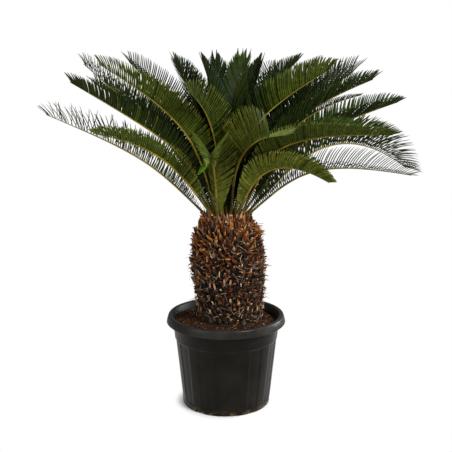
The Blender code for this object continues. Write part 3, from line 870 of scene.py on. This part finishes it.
def make_leaf_bases(materials):
    """The stubs of old leaves: flush and grey by the soil, longer, browner and torn above."""
    rng = np.random.default_rng(SEED + 3)
    count = LEAF_BASES
    height, angle = spiral(count, TRUNK_FOOT - 0.004, TRUNK_TOP - 0.004)
    raised = smooth_step(height, 0.41, 0.50)
    closing = smooth_step(height, *TRUNK_CLOSES)
    rises = np.radians(rng.normal(30, 13, count) + 44 * closing + 26 * (1 - raised))
    headings = angle + np.radians(rng.normal(0, 14, count) * (0.3 + 0.7 * raised))
    turns = some_angles(rng, 0, 14, count) * raised
    curls = some_angles(rng, 10, 20, count) * raised
    lengths = (0.016 + 0.009 * raised + 0.006 * closing) * rng.uniform(0.75, 1.3, count)
    roots = on_trunk(angle, height, CORE_DEPTH)
    stations = np.array((0.0, 0.3, 0.6, 0.85, 1.0))
    paths = curved_paths(roots, headings, rises, turns, curls, lengths, stations)
    rolls = some_angles(rng, 0, 18, count)
    widths = 0.0082 * rng.uniform(0.7, 1.15, (count, 1)) * (1.15 - 0.15 * raised[:, None])
    depths = 0.0037 * rng.uniform(0.7, 1.3, (count, 1))
    taper = np.interp(stations, (0, 0.5, 1), (1.0, 0.88, 0.52))
    rings = grown_rings(rng, paths, rolls, widths * taper, depths * np.sqrt(taper), 6, 0.0008)
    low_tone = rng.choice((GREY, BROWN, DARK), count, p=(0.55, 0.33, 0.12))
    middle_tone = rng.choice((DARK, BROWN, GREY, RED), count, p=(0.16, 0.40, 0.20, 0.24))
    high_tone = rng.choice((DARK, BROWN, RED, ORANGE), count, p=(0.16, 0.32, 0.34, 0.18))
    tone = np.where(height < 0.435, low_tone, middle_tone)
    tone = np.where(height > rng.normal(0.64, 0.04, count), high_tone, tone)
    finish = np.repeat(tone[:, None, None], len(stations) - 1, axis=1)
    torn = rng.uniform(size=count) < 0.06
    finish[torn, -1] = TAN
    end = np.where(torn, TAN, np.where(rng.uniform(size=count) < 0.2, ORANGE, tone))
    make_tubes("trunk_leaf_bases", "bark", (), materials, rings, finish, end)


def make_scales(materials):
    """The thin dry scales and splinters among the leaf bases."""
    rng = np.random.default_rng(SEED + 4)
    count = SCALES
    height = TRUNK_FOOT + 0.03 + (TRUNK_TOP - TRUNK_FOOT - 0.04) * rng.uniform(size=count) ** 0.85
    angle = rng.uniform(0, 2 * math.pi, count)
    share = smooth_step(height, 0.42, 0.52)
    closing = smooth_step(height, *TRUNK_CLOSES)
    open_rise, closed_rise = rng.normal(34, 24, count), rng.normal(78, 8, count)
    rises = np.radians(open_rise * (1 - closing) + closed_rise * closing)
    headings = angle + some_angles(rng, 0, 30, count)
    turns = some_angles(rng, 0, 25, count)
    curls = some_angles(rng, 5, 28, count) * (1 - 0.7 * closing)
    lengths = (0.014 + 0.008 * share) * rng.uniform(0.6, 1.4, count)
    roots = on_trunk(angle, height, CORE_DEPTH * rng.uniform(-0.2, 1.0, count))
    stations = np.array((0.0, 0.35, 0.7, 1.0))
    paths = curved_paths(roots, headings, rises, turns, curls, lengths, stations)
    rolls = np.radians(rng.uniform(-60, 60, count))
    taper = np.interp(stations, (0, 0.4, 1), (0.8, 1.0, 0.26))
    widths = rng.uniform(0.0026, 0.0066, (count, 1)) * taper
    rings = grown_rings(rng, paths, rolls, widths, 0.0010, 4, 0.0003)
    low = rng.choice((DARK, BROWN, GREY, RED, TAN), count, p=(0.22, 0.30, 0.27, 0.17, 0.04))
    high = rng.choice((DARK, BROWN, RED, ORANGE, TAN), count, p=(0.16, 0.30, 0.32, 0.18, 0.04))
    tone = np.where(height > rng.normal(0.62, 0.05, count), high, low)
    make_tubes("trunk_scales", "bark", (), materials, rings, tone[:, None, None])


def make_torn_faces(materials):
    """The pale broken faces where leaf bases have been cut or torn off, most of them low down."""
    rng = np.random.default_rng(SEED + 7)
    count = TORN_FACES
    height = 0.412 + 0.30 * rng.uniform(size=count) ** 1.7
    angle = rng.uniform(0, 2 * math.pi, count)
    rises = some_angles(rng, 76, 8, count)
    headings = angle + some_angles(rng, 0, 25, count)
    turns = some_angles(rng, 0, 20, count)
    curls = some_angles(rng, 10, 12, count)
    lengths = rng.uniform(0.012, 0.030, count)
    roots = on_trunk(angle, height, -0.001 - 0.004 * rng.uniform(size=count))
    stations = np.array((0.0, 0.2, 0.5, 0.8, 1.0))
    paths = curved_paths(roots, headings, rises, turns, curls, lengths, stations)
    rolls = some_angles(rng, 0, 18, count)
    taper = np.interp(stations, (0, 0.3, 1), (0.5, 1.0, 0.45))
    widths = rng.uniform(0.0026, 0.0056, (count, 1)) * taper
    rings = grown_rings(rng, paths, rolls, widths, 0.0022, 6, 0.0007)
    tone = rng.choice((TAN, ORANGE), count, p=(0.85, 0.15))
    make_tubes("trunk_torn_faces", "bark", (), materials, rings, tone[:, None, None])


def make_fibres(materials):
    """The loose threads that hang and stand round the trunk."""
    rng = np.random.default_rng(SEED + 5)
    count = FIBRES
    height = rng.uniform(TRUNK_FOOT + 0.02, TRUNK_TOP - 0.02, count)
    angle = rng.uniform(0, 2 * math.pi, count)
    rises = np.radians(rng.uniform(-60, 70, count))
    headings = angle + np.radians(rng.choice((-72, 72), count) + rng.normal(0, 15, count))
    turns = some_angles(rng, 0, 40, count)
    curls = some_angles(rng, 0, 50, count)
    lengths = rng.uniform(0.018, 0.052, count)
    roots = on_trunk(angle, height, -0.009)
    stations = np.linspace(0.0, 1.0, 7)
    paths = curved_paths(roots, headings, rises, turns, curls, lengths, stations)
    taper = np.interp(stations, (0, 0.8, 1), (1, 0.8, 0.3))
    radii = rng.uniform(0.0005, 0.0010, (count, 1)) * taper
    rings = ring_points(*paths, lens_section(radii, radii, 4))
    tone = rng.choice((FIBRE, GREY, ORANGE), count, p=(0.6, 0.25, 0.15))
    make_tubes("trunk_fibres", "bark", (), materials, rings, tone[:, None, None])


def make_neck(materials):
    """The orange scales that sheathe the fronds' feet, with a loose tuft on the right."""
    rng = np.random.default_rng(SEED + 6)
    count, tuft = NECK_SCALES, TUFT_SCALES
    height = rng.uniform(0.752, TRUNK_TOP + 0.004, count)
    angle = rng.uniform(0, 2 * math.pi, count)
    inward = rng.uniform(0, 1, count) ** 1.5 * smooth_step(height, 0.785, TRUNK_TOP)
    roots = on_trunk(angle, np.minimum(height, TRUNK_TOP), 0.012)
    roots[:, :2] *= (1 - inward * 0.9)[:, None]
    rises = np.radians(rng.normal(78, 7, count) + 6 * inward)
    headings = angle + some_angles(rng, 0, 22, count)
    turns = some_angles(rng, 0, 12, count)
    curls = some_angles(rng, -4, 12, count)
    lengths = rng.uniform(0.022, 0.048, count) * (1 - 0.25 * inward)
    tuft_angle = some_angles(rng, -14, 6, tuft)
    tuft_height = rng.uniform(0.738, 0.768, tuft)
    roots = np.concatenate((roots, on_trunk(tuft_angle, tuft_height, 0.010)))
    rises = np.append(rises, np.radians(np.linspace(24, -16, tuft)))
    headings = np.append(headings, some_angles(rng, -20, 8, tuft))
    turns = np.append(turns, np.zeros(tuft))
    curls = np.append(curls, np.radians(np.linspace(-22, 12, tuft)))
    lengths = np.append(lengths, rng.uniform(0.034, 0.060, tuft))
    stations = np.array((0.0, 0.25, 0.5, 0.75, 1.0))
    paths = curved_paths(roots, headings, rises, turns, curls, lengths, stations)
    rolls = some_angles(rng, 0, 30, count + tuft)
    widths = rng.uniform(0.0026, 0.0056, (count + tuft, 1))
    widths[-tuft:] += 0.0015
    taper = np.interp(stations, (0, 0.4, 1), (0.9, 1.0, 0.08))
    rings = grown_rings(rng, paths, rolls, widths * taper, 0.0010 * np.sqrt(taper), 6, 0.0003)
    tone = rng.choice((BROWN, RED, ORANGE, TAN), count + tuft, p=(0.08, 0.16, 0.54, 0.22))
    make_tubes("neck_scales", "bark", (), materials, rings, tone[:, None, None])


# Fronds


def bend_share(along, bend):
    """How much of its bend a frond has made by this share of its length."""
    power = BEND_SHARPNESS
    return along**power * (1 + bend**power) / (along**power + bend**power)


def frond_direction(frond, along):
    bent = bend_share(along, frond.bend)
    tilt = np.radians(frond.rise + (frond.tip_rise - frond.rise) * bent)
    heading = np.radians(frond.facing + frond.turn * along)
    return polar(np.cos(tilt), heading, np.sin(tilt))


def frond_axes(frond, along):
    """The rib's direction, its right-hand side and its upper side at shares of its length."""
    forward = frond_direction(frond, along)
    level = unit(np.cross(forward, UP))
    steep = np.cross(level, forward)
    roll = np.radians(frond.roll * along)[..., None]
    side = np.cos(roll) * level - np.sin(roll) * steep
    return forward, side, np.cross(side, forward)


def frond_feet():
    """Where each frond stands on the trunk's top: steeper ones further in, none too close."""
    feet = []
    for frond in FRONDS.values():
        radius = FOOT_INNER + FOOT_SPREAD * math.cos(math.radians(frond.rise)) + frond.outer
        angle = math.radians(frond.facing)
        feet.append(np.array((radius * math.cos(angle), radius * math.sin(angle))))
    for _ in range(SPREAD_ROUNDS):
        for i, first in enumerate(feet):
            for second in feet[i + 1 :]:
                apart = second - first
                distance = math.hypot(*apart)
                if distance < FOOT_SPACING:
                    push = apart / distance * (FOOT_SPACING - distance) / 2
                    first -= push
                    second += push
        for foot in feet:
            reach = math.hypot(*foot)
            if reach > FOOT_REACH:
                foot *= FOOT_REACH / reach
    return {
        name: np.array((foot[0] + TRUNK_TOP_X, foot[1], FOOT_HEIGHT))
        for name, foot in zip(FRONDS, feet)
    }


def rib_line(frond, foot):
    """The shares of the frond's length at which its rib is known, and the points there."""
    shares = np.linspace(0.0, 1.0, RIB_STEPS + 1)
    middles = (shares[:-1] + shares[1:]) / 2
    steps = frond_direction(frond, middles) * frond.length / RIB_STEPS
    return shares, np.concatenate((foot[None], foot + np.cumsum(steps, axis=0)))


def on_line(line, along):
    shares, points = line
    return np.stack([np.interp(along, shares, points[:, k]) for k in range(3)], axis=-1)


def leaflet_share(along):
    """A leaflet's length against the longest: a spine by the foot, longest midway."""
    through = (along - LEAFLET_START) / (1.0 - LEAFLET_START)
    growing = SHARE_AT_FOOT + (1.0 - SHARE_AT_FOOT) * through / FULL_FROM
    faded = np.maximum(0.0, (through - FADES_FROM) / (1.0 - FADES_FROM))
    return np.clip(growing, 0.07, 1.0) * (1.0 - (1.0 - SHARE_AT_TIP) * faded**1.5)


def make_rib(name, frond, line, materials):
    along = np.append(-RIB_SUNK / frond.length, np.linspace(0.0, 1.0, 60))
    known = np.maximum(along, 0.0)
    forward, side, upper = frond_axes(frond, known)
    centre = on_line(line, known)
    centre[0] -= forward[0] * RIB_SUNK
    half_width = np.interp(known, RIB_STATIONS, RIB_HALF_WIDTHS)
    half_depth = np.interp(known, RIB_STATIONS, RIB_HALF_DEPTHS)
    section = lens_section(half_width[None], half_depth[None], 10)
    rings = ring_points(centre[None], side[None], upper[None], section)
    tone = np.searchsorted(RIB_TONE_ENDS, (along[:-1] + along[1:]) / 2)
    make_tubes(f"{name}_rib", "frond", (name,), materials, rings, tone[None, :, None])


def clear_share(roots, directions, lengths, others):
    """The share of each leaflet's length that stays clear of the other fronds' ribs."""
    tries = np.linspace(0.04, 1.0, 25)
    points = roots[:, None] + directions[:, None] * (lengths[:, None] * tries)[..., None]
    flat = points.reshape(-1, 3)
    apart = (flat**2).sum(1)[:, None] + (others**2).sum(1) - 2 * flat @ others.T
    touches = (apart.min(axis=1) < RIB_CLEARANCE**2).reshape(points.shape[:2])
    first = np.where(touches.any(axis=1), touches.argmax(axis=1), len(tries))
    allowed = np.concatenate(((0.0,), tries[:-1], (1.0,)))
    return allowed[first]


def leaflet_headings(axes, sign, spread, vee):
    """Which way leaflets head that spread from their rib's axes and stand up from its sides."""
    forward, side, upper = axes
    outward = (np.cos(vee) * sign)[..., None] * side + np.sin(vee)[..., None] * upper
    return np.cos(spread)[..., None] * forward + np.sin(spread)[..., None] * outward


def best_swings(root, axes, sign, spread, vee, length, others):
    """The share of each leaflet that clears the others' ribs, and the swing that keeps most."""
    kept_share = np.zeros(len(root))
    swing = np.zeros(len(root))
    for degrees in SWINGS_DEG:
        tried = np.flatnonzero(kept_share < 1.0)
        turned = vee[tried] + math.radians(degrees)
        own_axes = [axis[tried] for axis in axes]
        heading = leaflet_headings(own_axes, sign[tried], spread[tried], turned)
        share = clear_share(root[tried], heading, length[tried], others)
        better = share > kept_share[tried] + WORTH_A_SWING
        kept_share[tried[better]] = share[better]
        swing[tried[better]] = math.radians(degrees)
    return kept_share, swing


def leaflet_layout(look, frond, line, others, rng):
    """Where leaflets leave their rib and its axes there, how they head, and how long they are."""
    count = round((LEAFLET_END - SPINES_START) * frond.length / look.pitch)
    along = np.linspace(SPINES_START, LEAFLET_END, count)
    pitch = along[1] - along[0]
    along = np.append(along, np.clip(along + pitch / 2, 0, LEAFLET_END))
    sign = np.repeat((1.0, -1.0), count)
    count *= 2
    along = np.clip(along + rng.normal(0, pitch * 0.08, count), 0, 1)
    wide, narrow = LEAFLET_ANGLES_DEG
    spread = (wide + (narrow - wide) * along**3) * frond.spread
    closing = smooth_step(along, look.closes_from, 1.0)
    spread = spread * (1 - (1 - look.tip_spread) * closing)
    bunching = look.bunching * smooth_step(along, 0.45, 0.65) * np.sin(along * BUNCH_WAVES + sign)
    spread = np.radians(spread + bunching + look.unevenness * rng.normal(0, 1.0, count))
    vee = np.radians(frond.vee - bunching + look.unevenness * rng.normal(0, 1.3, count))
    shortened = 1 - (1 - look.tip_length) * closing
    length = LEAFLET_LENGTH * frond.size * leaflet_share(along) * shortened
    length = length * rng.uniform(0.95, 1.02, count)
    root = on_line(line, along)
    axes = frond_axes(frond, along)
    kept_share, swing = best_swings(root, axes, sign, spread, vee, length, others)
    lost = rng.uniform(size=count) < look.lost * smooth_step(along, 0.5, 0.7)
    keep = (kept_share > SHORTEST_SHARE) & ~lost
    layout = (along, root, *axes, sign, spread, vee + swing, length * kept_share)
    return [values[keep] for values in layout]


def leaflet_section(half_width):
    """A thin section with a raised middle: one edge, its upper side, the other, its underside."""
    across = half_width[..., None] * (1, 0, -1, 0)
    above = half_width[..., None] * (-LEAFLET_FOLD, LEAFLET_FOLD, -LEAFLET_FOLD, -0.02)
    above = above + (0.0, LEAFLET_SKIN, 0.0, -LEAFLET_SKIN)
    return np.stack((across, above), axis=-1)


def leaflet_tones(look, along, rng):
    """The tones of leaflets' upper sides and of their undersides, with painted shade that darkens
    them deep in the crown.
    """
    count = len(along)
    wander = rng.choice((-1, 0, 1), count, p=(0.08, 0.84, 0.08))
    # painted shade deep in the crown: the brightest tone a leaflet may take rises with its share of
    # the frond
    daylight = np.floor((along - rng.normal(look.deep_to, 0.03, count)) / DAYLIGHT_STEP).astype(int)
    brightest = np.clip(daylight + DARK_LEAF, PAINTED_SHADE_LEAF, BRIGHT_LEAF)
    over = np.minimum(np.clip(look.over + wander, DARK_LEAF, BRIGHT_LEAF), brightest)
    under = np.minimum(np.clip(look.under + wander, DARK_LEAF, BRIGHT_LEAF), brightest)
    return over, under


def leaflet_finish(over, under):
    """The materials of leaflets' faces: one half of each side is a tone darker than the other, as
    painted shade, and the ends of lit undersides are a tone lighter, as painted light.
    """
    # painted shade: the second half of each side is a tone darker
    halves = (
        over,
        over - (over > PAINTED_SHADE_LEAF),
        under - (under > PAINTED_SHADE_LEAF) + FIRST_UNDER,
        under + FIRST_UNDER,
    )
    finish = np.repeat(np.stack(halves, axis=-1)[:, None], len(LEAFLET_STATIONS) - 1, axis=1)
    # painted light: the ends of the undersides a tone lighter
    lit = (under > DARK_LEAF) & (under < BRIGHT_LEAF)
    finish[lit, LIT_FROM:, 2:] += 1
    return finish


def make_leaflets(name, frond, line, others, materials, rng):
    look = LOOKS[name]
    layout = leaflet_layout(look, frond, line, others, rng)
    along, root, forward, side, upper, sign, spread, vee, length = layout
    spread = spread[:, None] + math.radians(LEAFLET_CURVE_DEG) * (0.5 - LEAFLET_STATIONS)
    vee = vee[:, None] + math.radians(LEAFLET_ARCH_DEG) * (0.5 - LEAFLET_STATIONS)
    axes = (forward[:, None], side[:, None], upper[:, None])
    heading = leaflet_headings(axes, sign[:, None], spread, vee)
    centres = walk(root, heading, length, LEAFLET_STATIONS)
    along_rib = forward[:, None] - (forward[:, None] * heading).sum(-1, keepdims=True) * heading
    ups = sign[:, None, None] * np.cross(heading, unit(along_rib))
    tilt = np.radians(rng.normal(LEAFLET_TILT_DEG, 2.5 * look.unevenness, len(root))) * sign
    sides, ups = rolled(np.cross(heading, ups), ups, tilt)
    breadth = np.clip(length / FULL_WIDTH_LENGTH, 0.35, 1.0)
    breadth = breadth * (1 - look.thins * smooth_step(along, 0.55, 1.0))
    section = leaflet_section(look.width / 2 * breadth[:, None] * LEAFLET_PROFILE)
    rings = ring_points(centres, sides, ups, section)
    over, under = leaflet_tones(look, along, rng)
    finish = leaflet_finish(over, under)
    make_tubes(f"{name}_leaflets", "frond", (name,), materials, rings, finish, over)


def make_fresh_tip(tip, materials):
    """The young leaflets at the front frond's tip, still pressed together in one hanging blade."""
    place = np.linspace(-1.0, 1.0, FRESH_LEAFLETS)
    centres, sides, ups = curved_paths(
        np.repeat(tip[None] + FRESH_OFFSET, FRESH_LEAFLETS, axis=0),
        np.full(FRESH_LEAFLETS, math.radians(FRESH_FACING_DEG)),
        np.radians(-48 + 36 * place),
        np.zeros(FRESH_LEAFLETS),
        np.radians(-62 * place),
        FRESH_LENGTH * np.sqrt(1 - 0.6 * place**2),
        LEAFLET_STATIONS,
    )
    sides, ups = rolled(sides, ups, np.full(FRESH_LEAFLETS, math.radians(FRESH_ROLL_DEG)))
    width = FRESH_HALF_WIDTH * LEAFLET_PROFILE
    section = lens_section(width[None], 0.3 * width[None] + 0.0002, 4)
    rings = ring_points(centres, sides, ups, section)
    make_tubes("frond_front_centre_fresh_tip", "frond", (), materials, rings, FRESH)


def make_fronds():
    feet = frond_feet()
    lines = {name: rib_line(frond, feet[name]) for name, frond in FRONDS.items()}
    leaves = leaf_materials()
    ribs = rib_materials()
    make_fresh_tip(lines["frond_front_centre"][1][-1], leaves)
    for number, (name, frond) in enumerate(FRONDS.items()):
        others = np.concatenate([line[1] for other, line in lines.items() if other != name])
        rng = np.random.default_rng(SEED + 100 + number)
        make_leaflets(name, frond, lines[name], others, leaves, rng)
        make_rib(name, frond, lines[name], ribs)


# Studio


def make_floor():
    """A round sheet of white paper that, away from the pot, turns into a glow as bright as the
    backdrop: painted light that wipes out the shadows cast on it.
    """
    shape = Shape()
    first = shape.add_points(polar(FLOOR_RADIUS, round_angles(FLOOR_SIDES), -0.0004))
    shape.add_faces(first + np.arange(FLOOR_SIDES)[None], 0)
    tones = ((0.86, 0.86, 0.85), (0.88, 0.88, 0.87))
    material = make_material("floor_paper", tones, (0.8, 0.9), 2, 0.0002, 0.1)
    tree = material.node_tree
    far = add_node(tree, "VectorMath")
    far.operation = "LENGTH"
    feed(tree, far.inputs[0], find_output(tree, "TEX_COORD", "Object"))
    fade = add_range(tree, far.outputs["Value"], FLOOR_GLOW_FADES, kind="SMOOTHSTEP")
    # painted light: an emission as bright as the backdrop, which wipes out cast shadows
    glow = add_node(tree, "Emission")
    mix = add_node(tree, "MixShader", Fac=fade)
    feed(tree, mix.inputs[1], find_output(tree, "BSDF_PRINCIPLED", "BSDF"))
    feed(tree, mix.inputs[2], glow.outputs["Emission"])
    feed(tree, tree.nodes["Material Output"].inputs["Surface"], mix.outputs["Shader"])
    shape.make("floor", [material])


def add_light(name, place, aimed_height, size, power):
    light = bpy.data.lights.new(name, "AREA")
    light.shape = "DISK"
    light.size = size
    light.energy = power
    lamp = bpy.data.objects.new(name, light)
    lamp.location = place
    x, y, z = place
    lamp.rotation_euler = (math.atan2(math.hypot(x, y), z - aimed_height), 0.0, math.atan2(x, -y))
    bpy.context.scene.collection.objects.link(lamp)


def make_world():
    """A white backdrop that the camera sees brighter than it lights the palm."""
    world = bpy.data.worlds.new("studio")
    world.use_nodes = True
    tree = world.node_tree
    inputs = tree.nodes["Background"].inputs
    feed(tree, inputs["Color"], (1.0, 1.0, 1.0, 1.0))
    seen = add_node(tree, "LightPath").outputs["Is Camera Ray"]
    feed(tree, inputs["Strength"], add_range(tree, seen, (0.0, 1.0), (BACKDROP_LIGHT, 1.0)))
    bpy.context.scene.world = world


def make_camera():
    data = bpy.data.cameras.new("camera")
    data.sensor_width = SENSOR_WIDTH
    data.lens = FOCAL_LENGTH
    camera = bpy.data.objects.new("camera", data)
    camera.location = CAMERA_PLACE
    camera.rotation_euler = (math.radians(90.0 - CAMERA_DIP_DEG), 0.0, 0.0)
    bpy.context.scene.collection.objects.link(camera)
    bpy.context.scene.camera = camera


def main():
    bpy.context.scene.view_settings.view_transform = "Standard"
    make_pot()
    make_soil()
    bark = bark_materials()
    make_core(bark)
    make_leaf_bases(bark)
    make_scales(bark)
    make_torn_faces(bark)
    make_fibres(bark)
    make_neck(bark)
    make_fronds()
    make_floor()
    for light in LIGHTS:
        add_light(*light)
    make_world()
    make_camera()


main()
